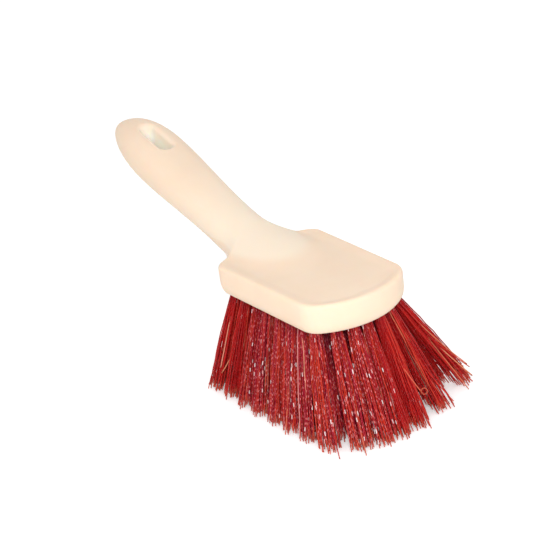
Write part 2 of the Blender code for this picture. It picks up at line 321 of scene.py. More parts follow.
def handleHalfWidth(x):
    waist, belly = block["waistWidth"] / 2, block["bellyWidth"] / 2
    if x <= bellyX:
        run = (bellyX - x) / block["endRun"]
        return belly * math.sqrt(max(1 - run * run, 0))
    waistX = backX - block["waistSetback"]
    return mix(waist, belly, ease((waistX - x) / (waistX - bellyX)))


def axisHeight(x):
    endShare = max(bellyX - x, 0) / block["endRun"]
    rise = (backX - x) * math.tan(block["riseAngle"])
    return rise - block["axisDrop"] - block["endDroop"] * endShare ** block["droopPower"]


def handleHalfHeight(x):
    return block["thicknessShare"] * handleHalfWidth(x) / math.cos(block["riseAngle"])


def topHeight(plan, roundness, inside):
    # the handle's back, then the crowned ridge that runs out on the head, then its dished top
    ridge = (backX + block["ridgeReach"] - plan.x) * math.tan(block["ridgeAngle"])
    crest = smoothMax(axisHeight(plan.x) + handleHalfHeight(plan.x), ridge, block["ridgeNeckBlend"])
    along = (plan.x - backX + block["ridgeNeckSetback"]) / (block["ridgeReach"] + block["ridgeNeckSetback"])
    radius = mix(block["ridgeNeckRadius"], block["ridgeFootRadius"], ease(along))
    crown = (1 - roundness ** block["crownFade"]) * plan.y * plan.y / (2 * radius)
    dish = block["dishDepth"] * ease(inside / block["dishWall"])
    return smoothMax(crest - crown, -dish, block["ridgeFootBlend"])


def underHeight(plan, roundness, inside):
    # called as topHeight is; the underside has neither a crown nor a dish
    return smoothMax(axisHeight(plan.x) - handleHalfHeight(plan.x), -block["thickness"],
                     block["underBlend"])


def handleSurface(x, y, side):
    # height of the handle's back (side 1) or belly (side -1) over a point of the plan
    share = min(abs(y) / handleHalfWidth(x), 1)
    rounding = (1 - share ** block["squareness"]) ** (1 / block["squareness"])
    return axisHeight(x) + side * handleHalfHeight(x) * rounding


def halfOutline():
    # ribs round one half of the plan: point, inward direction, foot on the centre line, roundness
    ribs = []
    waist, belly = block["waistWidth"] / 2, block["bellyWidth"] / 2
    radius = block["shoulderRadius"]
    inward = Vector((0, -1))
    for step in range(block["endSteps"]):
        angle = quarterTurn * step / block["endSteps"]
        x = tipX + block["endRun"] * (1 - math.cos(angle))
        ribs.append((Vector((x, belly * math.sin(angle))), inward, x, 1))
    for step in range(block["bodySteps"]):
        x = mix(bellyX, neckX, step / block["bodySteps"])
        ribs.append((Vector((x, handleHalfWidth(x))), inward, x, 1))
    for step in range(block["neckSteps"]):
        share = step / block["neckSteps"]
        angle = block["shoulderTurn"] * share
        inner = Vector((math.sin(angle), -math.cos(angle)))
        point = Vector((neckX, waist + neckRadius)) + inner * neckRadius
        foot = point.x + ease(share) * radius / 2
        ribs.append((point, inner, foot, mix(1, block["shoulderRoundShare"], ease(share))))
    for step in range(block["shoulderSteps"]):
        share = step / block["shoulderSteps"]
        angle = block["shoulderTurn"] * (1 - share)
        inner = Vector((math.sin(angle), -math.cos(angle)))
        point = Vector((shoulderX, shoulderY)) - inner * radius
        ribs.append((point, inner, point.x + radius / 2, block["shoulderRoundShare"] * (1 - ease(share))))
    for step in range(block["sideSteps"]):
        share = step / block["sideSteps"]
        point = Vector((mix(shoulderX, cornerX, share), mix(block["backWidth"] / 2, noseHalf, share)))
        ribs.append((point, inward, point.x + (1 - share) * radius / 2, 0))
    fanSteps = block["cornerSteps"] + block["noseSteps"]
    fanEndX = (cornerX + noseX) / 2
    for step in range(fanSteps + 1):
        if step < block["cornerSteps"]:
            angle = mix(quarterTurn, cornerEndAngle, step / block["cornerSteps"])
            centre, radius = Vector((cornerX, cornerY)), block["noseCornerRadius"]
        else:
            angle = mix(cornerEndAngle, 0, (step - block["cornerSteps"]) / block["noseSteps"])
            centre, radius = Vector((noseCentreX, 0)), noseRadius
        outward = Vector((math.cos(angle), math.sin(angle)))
        ribs.append((centre + outward * radius, -outward, mix(cornerX, fanEndX, step / fanSteps), 0))
    return ribs


def ribSide(rib, edgeRun, edgeHeight, surface, direction):
    # one face of a rib: round the edge from the wall, then in to the centre line
    point, inward, footX, roundness = rib
    foot = Vector((footX, 0))
    inner = (point + inward * edgeRun).lerp(foot, roundness)
    drop = mix(edgeHeight, handleHalfHeight(point.x), roundness)
    power = 2 / mix(2, block["squareness"], roundness)
    line = []
    for step in range(block["edgeSteps"] + 1):
        angle = quarterTurn * step / block["edgeSteps"]
        left = 0 if step == block["edgeSteps"] else math.cos(angle) ** power
        plan = inner.lerp(point, left)
        fall = drop * (1 - math.sin(angle) ** power)
        line.append(Vector((plan.x, plan.y, surface(plan, roundness, 0) - direction * fall)))
    for step in range(1, block["innerSteps"] + 1):
        plan = inner.lerp(foot, step / block["innerSteps"])
        line.append(Vector((plan.x, plan.y, surface(plan, roundness, (plan - inner).length))))
    return line


def blockHalfMesh():
    # a loft over the ribs of one half, open at the centre plane
    half = bmesh.new()
    tops, unders = [], []
    for rib in halfOutline():
        top = ribSide(rib, block["topEdgeRun"], block["topEdgeHeight"], topHeight, 1)
        under = ribSide(rib, block["underEdgeRun"], block["underEdgeHeight"], underHeight, -1)
        tops.append([half.verts.new(place) for place in top])
        unders.append([half.verts.new(place) for place in under])
    edge = block["edgeSteps"]
    flat = [all(abs(v.co.z + block["thickness"]) < mergeDistance for v in line[edge:]) for line in unders]
    firstFlat = flat.index(True)
    for index in range(len(tops) - 1):
        here, there = tops[index], tops[index + 1]
        lowHere, lowThere = unders[index], unders[index + 1]
        for step in range(len(here) - 1):
            half.faces.new((here[step], there[step], there[step + 1], here[step + 1]))
        half.faces.new((lowHere[0], lowThere[0], there[0], here[0]))
        for step in range(edge if index >= firstFlat else len(lowHere) - 1):
            half.faces.new((lowHere[step + 1], lowThere[step + 1], lowThere[step], lowHere[step]))
    rim = [line[edge] for line in unders[firstFlat:]]
    half.faces.new(rim + unders[firstFlat][edge + 1:][::-1])
    bmesh.ops.remove_doubles(half, verts=half.verts, dist=mergeDistance)
    bmesh.ops.dissolve_degenerate(half, dist=mergeDistance, edges=half.edges)
    bmesh.ops.recalc_face_normals(half, faces=half.faces)
    return half


def tuftPlaces():
    # mouth of each hole and the direction of its tuft, row by row from the back
    places = []
    firstX = backX + fill["backMargin"]
    for row in range(fill["rows"]):
        along = row / (fill["rows"] - 1)
        for column in range(fill["columns"]):
            across = 2 * column / (fill["columns"] - 1) - 1
            widest = noseHalf - fill["margin"]
            lastX = noseCentreX + math.sqrt((noseRadius - fill["margin"]) ** 2 - (across * widest) ** 2)
            x = mix(firstX, lastX, along)
            halfWidth = mix(block["backWidth"] / 2, noseHalf, min((x - backX) / (cornerX - backX), 1))
            mouth = Vector((x, across * (halfWidth - fill["margin"]), -block["thickness"]))
            loss, power = fill["cornerLossShare"], fill["cornerPower"]
            leanX = mix(-fill["backFan"], fill["noseFan"], along) * (1 - loss * across ** power)
            leanY = fill["sideFan"] * across * (1 - loss * along ** power) + fill["lean"]
            leanY += fill["splay"] * (along * max(across, 0)) ** fill["splayPower"]
            axis = Vector((math.tan(leanX), math.tan(leanY), -1)).normalized()
            places.append((row + 1, column + 1, mouth, axis))
    return places


def meshObject(name, mesh):
    data = bpy.data.meshes.new(name)
    mesh.to_mesh(data)
    mesh.free()
    return sceneObject(name, data)


def slotCutter():
    # the slot's wall, flared at both rims so that the cut leaves them rounded
    radius = slot["width"] / 2
    straight = slot["length"] / 2 - radius
    outline = []
    for end in (1, -1):
        for step in range(slot["endSteps"] + 1):
            angle = math.pi * step / slot["endSteps"] - end * quarterTurn
            outward = Vector((math.cos(angle), math.sin(angle)))
            outline.append((Vector((slotX + end * straight, 0)) + outward * radius, outward))
    rim = slot["rimRadius"]
    lip = slot["flareRun"] * rim
    flare = [(lip, slot["overrun"]), (lip, slot["flareLift"] * rim)]  # outward run, height over the skin
    for step in range(slot["rimSteps"] + 1):
        angle = slot["rimTurn"] * (1 - step / slot["rimSteps"])
        flare.append((rim * (1 - math.cos(angle)), rim * (math.sin(angle) - 1)))
    mesh = bmesh.new()
    rings = []
    for side, profile in ((1, flare), (-1, flare[::-1])):
        for outwardRun, height in profile:
            ring = []
            for point, outward in outline:
                place = point + outward * outwardRun
                z = handleSurface(place.x, place.y, side) + side * height
                ring.append(mesh.verts.new((place.x, place.y, z)))
            rings.append(ring)
    for upper, lower in zip(rings, rings[1:]):
        for index in range(len(upper)):
            after = (index + 1) % len(upper)
            mesh.faces.new((upper[index], upper[after], lower[after], lower[index]))
    mesh.faces.new(rings[0])
    mesh.faces.new(rings[-1])
    bmesh.ops.recalc_face_normals(mesh, faces=mesh.faces)
    return meshObject("slotCutter", mesh)


def holeCutter():
    mesh = bmesh.new()
    for row, column, mouth, axis in tuftPlaces():
        start = mouth - axis * fill["holeDepth"]
        end = mouth + axis * slot["overrun"]
        turn = axis.to_track_quat("Z", "Y").to_matrix().to_4x4()
        turn.translation = (start + end) / 2
        bmesh.ops.create_cone(mesh, cap_ends=True, segments=fill["holeSides"], radius1=fill["holeRadius"],
                              radius2=fill["holeRadius"], depth=(end - start).length, matrix=turn)
    return meshObject("holeCutter", mesh)


def plainCopy(item, name):
    # the evaluated shape as a plain mesh; the object that made it is removed
    bpy.context.view_layer.update()
    evaluated = item.evaluated_get(bpy.context.evaluated_depsgraph_get())
    data = bpy.data.meshes.new_from_object(evaluated)
    data.name = name
    bpy.data.objects.remove(item)
    return sceneObject(name, data)


creamLook = {
    "tones": ((0.870, 0.672, 0.505, 1), (0.895, 0.712, 0.548, 1)),  # the two ends of the mottling
    "mottleScale": 45,
    "pitScale": 1600,
    "pitShare": 0.35,
    "roughness": (0.52, 0.62),
    "bumpStrength": 0.25,
    "bumpDepth": 0.0002,
    # painted highlight: the ridge and the neck are painted paler where the lamp's sheen falls on them
    "ridgeHighlightColour": (0.905, 0.765, 0.610, 1),
    "ridgeHighlightHeights": (0.0001, 0.0022),  # over the head's top, from no painted highlight to all of it
    "ridgeHighlightAlong": (-0.115, -0.055),  # and the same along the handle
    # painted light inside the slot, palest deep in it, where little light reaches
    "slotRimColour": (0.920, 0.770, 0.630, 1),
    "slotLitDeepColour": (0.990, 0.940, 0.840, 1),
    "slotDepths": (0.0110, 0.0050),  # off the handle's axis, from the rim's colour to the deep one
    "surface": {
        "IOR": 1.49,
        "Specular IOR Level": 0.35,
        "Subsurface Weight": 0.5,
        "Subsurface Radius": (0.0035, 0.0022, 0.0014),
        "Subsurface Scale": 1,
    },
}


def creamMoulding():
    # satin cream plastic with faint mottling, a pitted skin, a painted ridge highlight and painted slot light
    look = creamLook
    material, tree, shader = newMaterial("creamMoulding", look["surface"])
    place = addNode(tree, "ShaderNodeTexCoord").outputs["Object"]
    where = coordinates(tree, place)
    skin = placeGrain(tree, place, look)
    colour = blendColour(tree, skin["Mottle"], *look["tones"])

    # painted highlight: the ridge and the neck, above the head's top, are painted paler where the lamp's
    # sheen falls
    raised = spread(tree, where["Z"], *look["ridgeHighlightHeights"], interpolation_type="SMOOTHSTEP")
    towardNeck = spread(tree, where["X"], *look["ridgeHighlightAlong"])
    colour = blendColour(tree, calc(tree, "MULTIPLY", raised, towardNeck), colour, look["ridgeHighlightColour"])

    # painted light: the skin inside the slot is painted paler, and palest deep in it, where little light
    # reaches
    apart = calc(tree, "ABSOLUTE", calc(tree, "SUBTRACT", where["X"], slotX))
    straight = (slot["length"] - slot["width"]) / 2
    beyond = calc(tree, "MAXIMUM", calc(tree, "SUBTRACT", apart, straight), 0.0)
    away = addNode(tree, "ShaderNodeCombineXYZ", {0: beyond, 1: where["Y"]}).outputs[0]
    away = vectorCalc(tree, "LENGTH", away)
    inside = spread(tree, away, slot["width"] / 2 + slot["rimRadius"], slot["width"] / 2)
    slope = math.tan(block["riseAngle"])
    level = vectorCalc(tree, "DOT_PRODUCT", place, (slope, 0, 1))
    offAxis = calc(tree, "ABSOLUTE", calc(tree, "ADD", level, block["axisDrop"] - backX * slope))
    slotPaintedLight = blendColour(tree, spread(tree, offAxis, *look["slotDepths"]), look["slotRimColour"],
                        look["slotLitDeepColour"])
    colour = blendColour(tree, inside, colour, slotPaintedLight)

    tree.links.new(colour, shader.inputs["Base Color"])
    tree.links.new(spread(tree, skin["Mottle"], 0.0, 1.0, *look["roughness"]), shader.inputs["Roughness"])
    setBump(tree, shader, look["bumpStrength"], look["bumpDepth"], skin["Height"])
    layOut(tree)
    return material


def closeSeams(mesh):
    # merges what the cutters left almost touching, splits the faces with many corners, and returns
    # the number of edges still open
    shell = bmesh.new()
    shell.from_mesh(mesh)
    bmesh.ops.remove_doubles(shell, verts=shell.verts, dist=mergeDistance)
    bmesh.ops.dissolve_degenerate(shell, dist=mergeDistance, edges=shell.edges)
    bmesh.ops.triangulate(shell, faces=[face for face in shell.faces if len(face.verts) > 4])
    openEdges = sum(not edge.is_manifold for edge in shell.edges)
    shell.to_mesh(mesh)
    shell.free()
    return openEdges


def makeBlock():
    item = meshObject("blockMaker", blockHalfMesh())
    item.data.shade_smooth()
    mirror = item.modifiers.new("mirror", "MIRROR")
    mirror.use_axis = (False, True, False)
    mirror.use_clip = True
    mirror.merge_threshold = mergeDistance
    cutters = (holeCutter(), slotCutter())
    for cutter in cutters:
        cut = item.modifiers.new(cutter.name, "BOOLEAN")
        cut.operation = "DIFFERENCE"
        cut.solver = "EXACT"
        cut.object = cutter
    piece = plainCopy(item, "block_moulding")
    for cutter in cutters:
        bpy.data.objects.remove(cutter)
    openEdges = closeSeams(piece.data)
    piece.data.shade_smooth()
    piece.data.set_sharp_from_angle(angle=block["sharpAngle"])
    piece.data.materials.clear()
    piece.data.materials.append(creamMoulding())
    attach(piece, "root")
    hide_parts("block")
    print("acid brush: block and handle,", len(piece.data.polygons), "faces,", openEdges, "open edges")


makeBlock()


# tufts of crimped filament
filaments = {
    "sockets": {  # what the node group takes, by the names of its inputs
        "Filaments": 80,
        "Sides": 4,
        "Segments": 11,
        "Filament Radius": 0.00027,
        "Root Radius": 0.0022,
        "Root Depth": 0.0030,
        "Tip Spread": 0.0049,
        "Tip Scatter": 0.0011,
        "Kink": 0.00022,
        "Bow": 0.0013,
        "Ragged Length": 0.0042,
        "Trim Height": trimHeight,
        "Twist": 60.0,  # turns each filament's flats another way
    },
    "raggedPower": 2.2,  # most filaments are cut near the trim, a few far short of it
    "straightShare": 0.2,  # of the length, from the root, over which the kinks grow
    # tufts that have opened: by row and column, how far the tips move off along x and y at most, and
    # how much more ragged they are
    "opened": {
        (7, 7): (0.0065, -0.0025, 0.0110), (8, 7): (0.0000, 0.0022, 0.0090), (8, 6): (0.0002, 0.0040, 0.0020),
        (1, 1): (-0.0018, -0.0004, 0), (1, 2): (-0.0018, 0, 0),
    },
    "seed": 11,
    "rowSeedStep": 100,
    "draws": {"scatter": 1, "cut": 2, "bow": 3, "tone": 4, "phase": 5, "kink": 6, "opened": 7},
}
strandLayers = ("tone", "phase", "along")  # what the filament's finish reads on every strand


def filamentTree():
    # each vertex is a tuft's mouth; it becomes a bundle of separate, kinked and trimmed filaments
    tree = bpy.data.node_groups.new("filamentTufts", "GeometryNodeTree")
    tree.is_modifier = True
    kinds = {"Geometry": "Geometry", "Seed": "Int", "Material": "Material"}
    for name, value in filaments["sockets"].items():
        kinds[name] = "Int" if isinstance(value, int) else "Float"
    for name, kind in kinds.items():
        tree.interface.new_socket(name=name, in_out="INPUT", socket_type=f"NodeSocket{kind}")
    tree.interface.new_socket(name="Geometry", in_out="OUTPUT", socket_type="NodeSocketGeometry")
    inside = addNode(tree, "NodeGroupInput").outputs
    outside = addNode(tree, "NodeGroupOutput")

    def attribute(name, kind="FLOAT_VECTOR"):
        node = addNode(tree, "GeometryNodeInputNamedAttribute", {"Name": name}, data_type=kind)
        return pickSocket(node.outputs, "Attribute")

    def chance(draw, low=0.0, high=1.0, kind="FLOAT"):
        seed = calc(tree, "ADD", inside["Seed"], filaments["draws"][draw])
        limits = {"Min": low, "Max": high, "Seed": seed}
        node = addNode(tree, "FunctionNodeRandomValue", limits, data_type=kind)
        return pickSocket(node.outputs, "Value")

    def chanceVector(draw, reach):
        vector = chance(draw, (-1, -1, -1), (1, 1, 1), "FLOAT_VECTOR")
        return vectorCalc(tree, "SCALE", vector, scale=reach)

    def store(geometry, name, value, kind="FLOAT_VECTOR"):
        node = addNode(tree, "GeometryNodeStoreNamedAttribute",
                       {"Geometry": geometry, "Name": name, "Value": value}, data_type=kind, domain="POINT")
        return node.outputs["Geometry"]

    # where each filament starts and ends
    copies = addNode(tree, "GeometryNodeDuplicateElements",
                     {"Geometry": inside["Geometry"], "Amount": inside["Filaments"]}, domain="POINT")
    order = copies.outputs["Duplicate Index"]
    mouth = addNode(tree, "GeometryNodeInputPosition").outputs[0]
    axis = attribute("axis")
    share = calc(tree, "SQRT", calc(tree, "DIVIDE", calc(tree, "ADD", order, 0.5), inside["Filaments"]))
    goldenAngle = math.pi * (3 - math.sqrt(5))
    angle = calc(tree, "MULTIPLY_ADD", order, goldenAngle, attribute("turn", "FLOAT"))
    across = vectorCalc(tree, "NORMALIZE", vectorCalc(tree, "CROSS_PRODUCT", axis, (0, 1, 0)))
    beside = vectorCalc(tree, "CROSS_PRODUCT", axis, across)
    out = vectorCalc(tree, "SCALE", across, scale=calc(tree, "COSINE", angle))
    out = moveAlong(tree, out, beside, calc(tree, "SINE", angle))
    out = vectorCalc(tree, "SCALE", out, scale=share)
    root = moveAlong(tree, mouth, out, inside["Root Radius"])
    root = vectorCalc(tree, "SUBTRACT", root, vectorCalc(tree, "SCALE", axis, scale=inside["Root Depth"]))
    toTrim = calc(tree, "SUBTRACT", inside["Trim Height"], coordinates(tree, mouth)["Z"])
    tip = moveAlong(tree, mouth, axis, calc(tree, "DIVIDE", toTrim, coordinates(tree, axis)["Z"]))
    tip = moveAlong(tree, tip, out, inside["Tip Spread"])
    tip = vectorCalc(tree, "ADD", tip, chanceVector("scatter", inside["Tip Scatter"]))
    opened = attribute("opened")
    tip = moveAlong(tree, tip, vectorCalc(tree, "MULTIPLY", opened, (1, 1, 0)), chance("opened"))

    # its run, stretched to the trim and then cut short by chance
    whole = vectorCalc(tree, "SUBTRACT", tip, root)
    toTrim = calc(tree, "SUBTRACT", inside["Trim Height"], coordinates(tree, root)["Z"])
    toTrim = calc(tree, "DIVIDE", toTrim, coordinates(tree, whole)["Z"])
    whole = vectorCalc(tree, "SCALE", whole, scale=toTrim)
    ragged = calc(tree, "ADD", inside["Ragged Length"], coordinates(tree, opened)["Z"])
    cut = calc(tree, "MULTIPLY", calc(tree, "POWER", chance("cut"), filaments["raggedPower"]), ragged)
    cut = calc(tree, "DIVIDE", cut, vectorCalc(tree, "LENGTH", whole))
    whole = vectorCalc(tree, "SCALE", whole, scale=calc(tree, "SUBTRACT", 1.0, cut))
    points = store(copies.outputs["Geometry"], "start", root)
    points = store(points, "run", whole)
    points = store(points, "bend", chanceVector("bow", inside["Bow"]))
    points = store(points, "tone", chance("tone"), "FLOAT")
    points = store(points, "phase", chance("phase"), "FLOAT")

    # a line of points for each, laid between its ends, kinked and bowed
    line = addNode(tree, "GeometryNodeCurvePrimitiveLine", {"End": (0, 0, 1)}).outputs[0]
    count = calc(tree, "ADD", inside["Segments"], 1)
    line = addNode(tree, "GeometryNodeResampleCurve", {"Curve": line, "Count": count}).outputs[0]
    lines = addNode(tree, "GeometryNodeInstanceOnPoints", {"Points": points, "Instance": line}).outputs[0]
    lines = addNode(tree, "GeometryNodeRealizeInstances", {"Geometry": lines}).outputs[0]
    factor = addNode(tree, "GeometryNodeSplineParameter").outputs["Factor"]
    lines = store(lines, "along", factor, "FLOAT")
    halves = calc(tree, "MULTIPLY", factor, calc(tree, "SUBTRACT", 1.0, factor))
    belly = calc(tree, "MULTIPLY", halves, 4.0)  # 1 halfway, 0 at both ends
    free = calc(tree, "MINIMUM", calc(tree, "MULTIPLY", factor, 1 / filaments["straightShare"]), 1.0)
    place = moveAlong(tree, attribute("start"), attribute("run"), factor)
    place = moveAlong(tree, place, attribute("bend"), belly)
    kink = vectorCalc(tree, "SCALE", chanceVector("kink", inside["Kink"]), scale=free)
    kink = vectorCalc(tree, "MULTIPLY", kink, (1, 1, 0))
    place = vectorCalc(tree, "ADD", place, kink)
    lines = addNode(tree, "GeometryNodeSetPosition", {"Geometry": lines, "Position": place}).outputs[0]
    twist = calc(tree, "MULTIPLY", attribute("tone", "FLOAT"), inside["Twist"])
    lines = addNode(tree, "GeometryNodeSetCurveTilt", {"Curve": lines, "Tilt": twist}).outputs[0]

    # the filament's section, then its finish
    section = addNode(tree, "GeometryNodeCurvePrimitiveCircle",
                      {"Resolution": inside["Sides"], "Radius": inside["Filament Radius"]}).outputs[0]
    solid = addNode(tree, "GeometryNodeCurveToMesh",
                    {"Curve": lines, "Profile Curve": section, "Fill Caps": True}).outputs[0]
    solid = addNode(tree, "GeometryNodeRealizeInstances", {"Geometry": solid}).outputs[0]
    solid = addNode(tree, "GeometryNodeSetMaterial",
                    {"Geometry": solid, "Material": inside["Material"]}).outputs[0]
    tree.links.new(solid, outside.inputs[0])
    layOut(tree)
    return tree


filamentLook = {
    "tones": (
        (0.0, (0.360, 0.005, 0.006, 1)), (0.5, (0.450, 0.007, 0.007, 1)), (0.84, (0.540, 0.013, 0.010, 1)),
        (0.955, (0.600, 0.034, 0.018, 1)), (0.985, (0.760, 0.290, 0.150, 1)), (1.0, (0.700, 0.250, 0.250, 1)),
    ),
    "paleTones": (0.95, 0.98),  # from here up a strand keeps its own hue
    # painted shade at the roots, where the tufts shade one another
    "rootShadeColour": (0.050, 0.002, 0.014, 1),
    "rootShade": 0.45,  # painted shade: how dark the roots of the outer tufts are
    "innerShade": 0.88,  # and those of the tufts inside
    "rootDark": 0.02,  # share of the length that is fully shaded
    "rootReach": 0.22,  # and where the shade ends
    "innerReach": 0.50,
    "crimson": (0.280, 0.001, 0.030, 1),
    "orange": (0.600, 0.040, 0.013, 1),
    "hueReach": 0.80,  # how far crimson and orange change the tone
    "hueRange": (0.2, 0.8),
    "hueOfStrand": 0.7,  # the strand's part in its hue, and the crest's
    "hueOfCrest": 0.3,
    "tipColour": (0.620, 0.150, 0.075, 1),
    "tipFrom": 0.93,  # share of the length from which the cut ends pale
    "tipShade": 0.5,
    "crimpTurns": 125.0,  # radians of crimp along a filament
    "crimpSpread": 50.0,  # and how many more the palest tone has
    "crimpDepth": 0.00012,
    # painted sheen on the crests of the crimp
    "crestSheenColour": (0.740, 0.185, 0.190, 1),
    "crestWave": (0.0, 0.7),  # of the crimp's wave, from no crest to all crest
    "crestLuck": (0.57, 0.77),  # which crests get the painted sheen
    "crestReach": 0.90,  # how far a crest goes to its painted sheen
    # painted glints on the crests: pink ones, and almost white ones
    "pinkGlintColour": (0.860, 0.420, 0.420, 1),
    "glintColour": (1.000, 0.890, 0.890, 1),
    "glintLuck": (0.3, 1.0),  # which painted glints are almost white
    "glintTurns": 78.0,  # a painted glint is longer than a crest
    "glintWave": (0.1, 0.5),
    "glintPhase": 40.0,
    "glintShare": 0.070,  # share of them painted as glints where the fill faces the lamps
    "glintOnStrand": (0.35, 0.75, 0.25, 1.6),  # some strands have more of them than others
    "innerGlints": 0.2,  # part of that share on the tufts inside
    "litCornerLeast": 0.05,  # part of that share on the sides away from the corner that faces the lamps
    # the corner that faces the lamps, where glints and sheen are painted and the hue mottles
    "litCornerMiddle": (0.030, -0.050, 0.0),
    "litCornerWithin": 0.045,  # all in the lit corner up to here from that upright line
    "litCornerUntil": 0.056,  # and hardly beyond here
    "phaseSteps": 977.0,  # tells one strand's draws from another's
    "draws": {"crest": 1.0, "glintDash": 2.0, "strand": 3.0, "crestHue": 4.0, "strandHue": 5.0},
    "mottleScale": 500,
    "pitScale": 2500,
    "pitShare": 0.5,
    "roughness": (0.12, 0.26),
    "surface": {"IOR": 1.53, "Specular IOR Level": 0.14},
}


def redFilament():
    # glossy crimped filament: red, varied from strand to strand, with painted shade at the root and
    # painted glints and sheen on some crests of the crimp, more of them near the corner that faces the lamps
    look = filamentLook
    material, tree, shader = newMaterial("redFilament", look["surface"])

    def reading(name):
        return addNode(tree, "ShaderNodeAttribute", attribute_name=name).outputs["Fac"]

    def perTurn(turns, draw):
        # a number from 0 to 1 that stays the same over one crest or painted glint of one filament
        index = calc(tree, "FLOOR", calc(tree, "DIVIDE", turns, fullTurn))
        strand = calc(tree, "MULTIPLY", phase, look["phaseSteps"])
        ticket = addNode(tree, "ShaderNodeCombineXYZ", {0: strand, 1: index, 2: look["draws"][draw]})
        noise = addNode(tree, "ShaderNodeTexWhiteNoise", {"Vector": ticket.outputs[0]})
        return noise.outputs["Value"]

    tone, phase, along, inner = (reading(name) for name in (*strandLayers, "inner"))
    place = addNode(tree, "ShaderNodeTexCoord").outputs["Object"]
    ramp = addNode(tree, "ShaderNodeValToRGB", {"Fac": tone})
    stops = ramp.color_ramp.elements
    stops.remove(stops[1])
    for index, (position, colour) in enumerate(look["tones"]):
        stop = stops[0] if index == 0 else stops.new(position)
        stop.position = position
        stop.color = colour

    # the crimp: a wave along each filament, with its own phase and pace
    pace = calc(tree, "MULTIPLY_ADD", tone, look["crimpSpread"], look["crimpTurns"])
    waves = calc(tree, "MULTIPLY_ADD", along, pace, calc(tree, "MULTIPLY", phase, fullTurn))
    wave = calc(tree, "SINE", waves)
    crest = spread(tree, wave, *look["crestWave"])

    # painted highlight: the corner of the fill that faces the lamps, and the painted glints there
    apart = vectorCalc(tree, "MULTIPLY", vectorCalc(tree, "SUBTRACT", place, look["litCornerMiddle"]), (1, 1, 0))
    apart = vectorCalc(tree, "LENGTH", apart)
    litCorner = spread(tree, apart, look["litCornerWithin"], look["litCornerUntil"], 1.0, look["litCornerLeast"])
    slow = calc(tree, "MULTIPLY", phase, look["glintPhase"])
    slow = calc(tree, "MULTIPLY_ADD", along, look["glintTurns"], slow)
    ticket = perTurn(slow, "glintDash")
    onStrand = spread(tree, perTurn(phase, "strand"), *look["glintOnStrand"])
    share = calc(tree, "MULTIPLY", calc(tree, "MULTIPLY", litCorner, look["glintShare"]), onStrand)
    share = calc(tree, "MULTIPLY", share, spread(tree, inner, 0.0, 1.0, 1.0, look["innerGlints"]))
    glintDash = spread(tree, calc(tree, "SINE", slow), *look["glintWave"])
    glintDash = calc(tree, "MULTIPLY", calc(tree, "LESS_THAN", ticket, share), glintDash)
    glint = spread(tree, calc(tree, "DIVIDE", ticket, share), *look["glintLuck"], 1.0, 0.0)

    # the strand's hue, then the painted sheen on its crests, the painted shade at its root, its pale cut end
    # and its painted glints
    luck = calc(tree, "MULTIPLY", perTurn(waves, "crestHue"), look["hueOfCrest"])
    luck = calc(tree, "MULTIPLY_ADD", perTurn(phase, "strandHue"), look["hueOfStrand"], luck)
    hue = blendColour(tree, spread(tree, luck, *look["hueRange"]), look["crimson"], look["orange"])
    changed = spread(tree, tone, *look["paleTones"], look["hueReach"], 0.0)
    colour = blendColour(tree, calc(tree, "MULTIPLY", litCorner, changed), ramp.outputs["Color"], hue)
    # painted sheen on some crests of the crimp, where the fill faces the lamps
    crestSheen = spread(tree, perTurn(waves, "crest"), *look["crestLuck"], 0.0, look["crestReach"])
    crestSheen = calc(tree, "MULTIPLY", calc(tree, "MULTIPLY", crest, crestSheen), litCorner)
    colour = blendColour(tree, crestSheen, colour, look["crestSheenColour"])
    # painted shade at the roots, deeper and longer on the tufts inside
    outerShade = spread(tree, along, look["rootDark"], look["rootReach"], look["rootShade"], 0.0)
    innerShade = spread(tree, along, look["rootDark"], look["innerReach"], look["innerShade"], 0.0)
    shade = calc(tree, "MAXIMUM", outerShade, calc(tree, "MULTIPLY", innerShade, inner))
    colour = blendColour(tree, shade, colour, look["rootShadeColour"])
    cutEnd = spread(tree, along, look["tipFrom"], 1.0, 0.0, look["tipShade"])
    colour = blendColour(tree, cutEnd, colour, look["tipColour"])
    # painted glints, pink or almost white
    pale = blendColour(tree, glint, look["pinkGlintColour"], look["glintColour"])
    tree.links.new(blendColour(tree, glintDash, colour, pale), shader.inputs["Base Color"])

    skin = placeGrain(tree, place, look)
    tree.links.new(spread(tree, skin["Mottle"], 0.0, 1.0, *look["roughness"]), shader.inputs["Roughness"])
    setBump(tree, shader, 1.0, look["crimpDepth"], calc(tree, "ADD", wave, skin["Height"]))
    layOut(tree)
    return material


def makeTuftRows():
    tree = filamentTree()
    sockets = {item.name: item.identifier for item in tree.interface.items_tree if item.in_out == "INPUT"}
    turns = random.Random(filaments["seed"])
    for row in range(1, fill["rows"] + 1):
        places = [place[1:] for place in tuftPlaces() if place[0] == row]
        data = bpy.data.meshes.new("tuftMouths")
        data.from_pydata([mouth for column, mouth, axis in places], [], [])
        for name, kind in (("axis", "FLOAT_VECTOR"), ("opened", "FLOAT_VECTOR"), ("turn", "FLOAT"),
                           ("inner", "FLOAT")):
            data.attributes.new(name, kind, "POINT")
        for index, (column, mouth, axis) in enumerate(places):
            data.attributes["axis"].data[index].vector = axis
            data.attributes["opened"].data[index].vector = filaments["opened"].get((row, column), (0, 0, 0))
            data.attributes["turn"].data[index].value = turns.uniform(0, fullTurn)
            inner = 1 < row < fill["rows"] and 1 < column < fill["columns"]
            data.attributes["inner"].data[index].value = inner
        maker = sceneObject("tuftMouths", data)
        modifier = maker.modifiers.new("filamentTufts", "NODES")
        modifier.node_group = tree
        seed = filaments["seed"] + filaments["rowSeedStep"] * row
        settings = {**filaments["sockets"], "Seed": seed, "Material": filamentFinish}
        for name, value in settings.items():
            modifier[sockets[name]] = value
        piece = plainCopy(maker, f"tuft_row_{row}")
        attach(piece, "root")
        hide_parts(*(f"tuft_{row}_{column}" for column in range(1, fill["columns"] + 1)))
        print("acid brush: tuft row", row, "faces", len(piece.data.polygons))


filamentFinish = redFilament()
makeTuftRows()


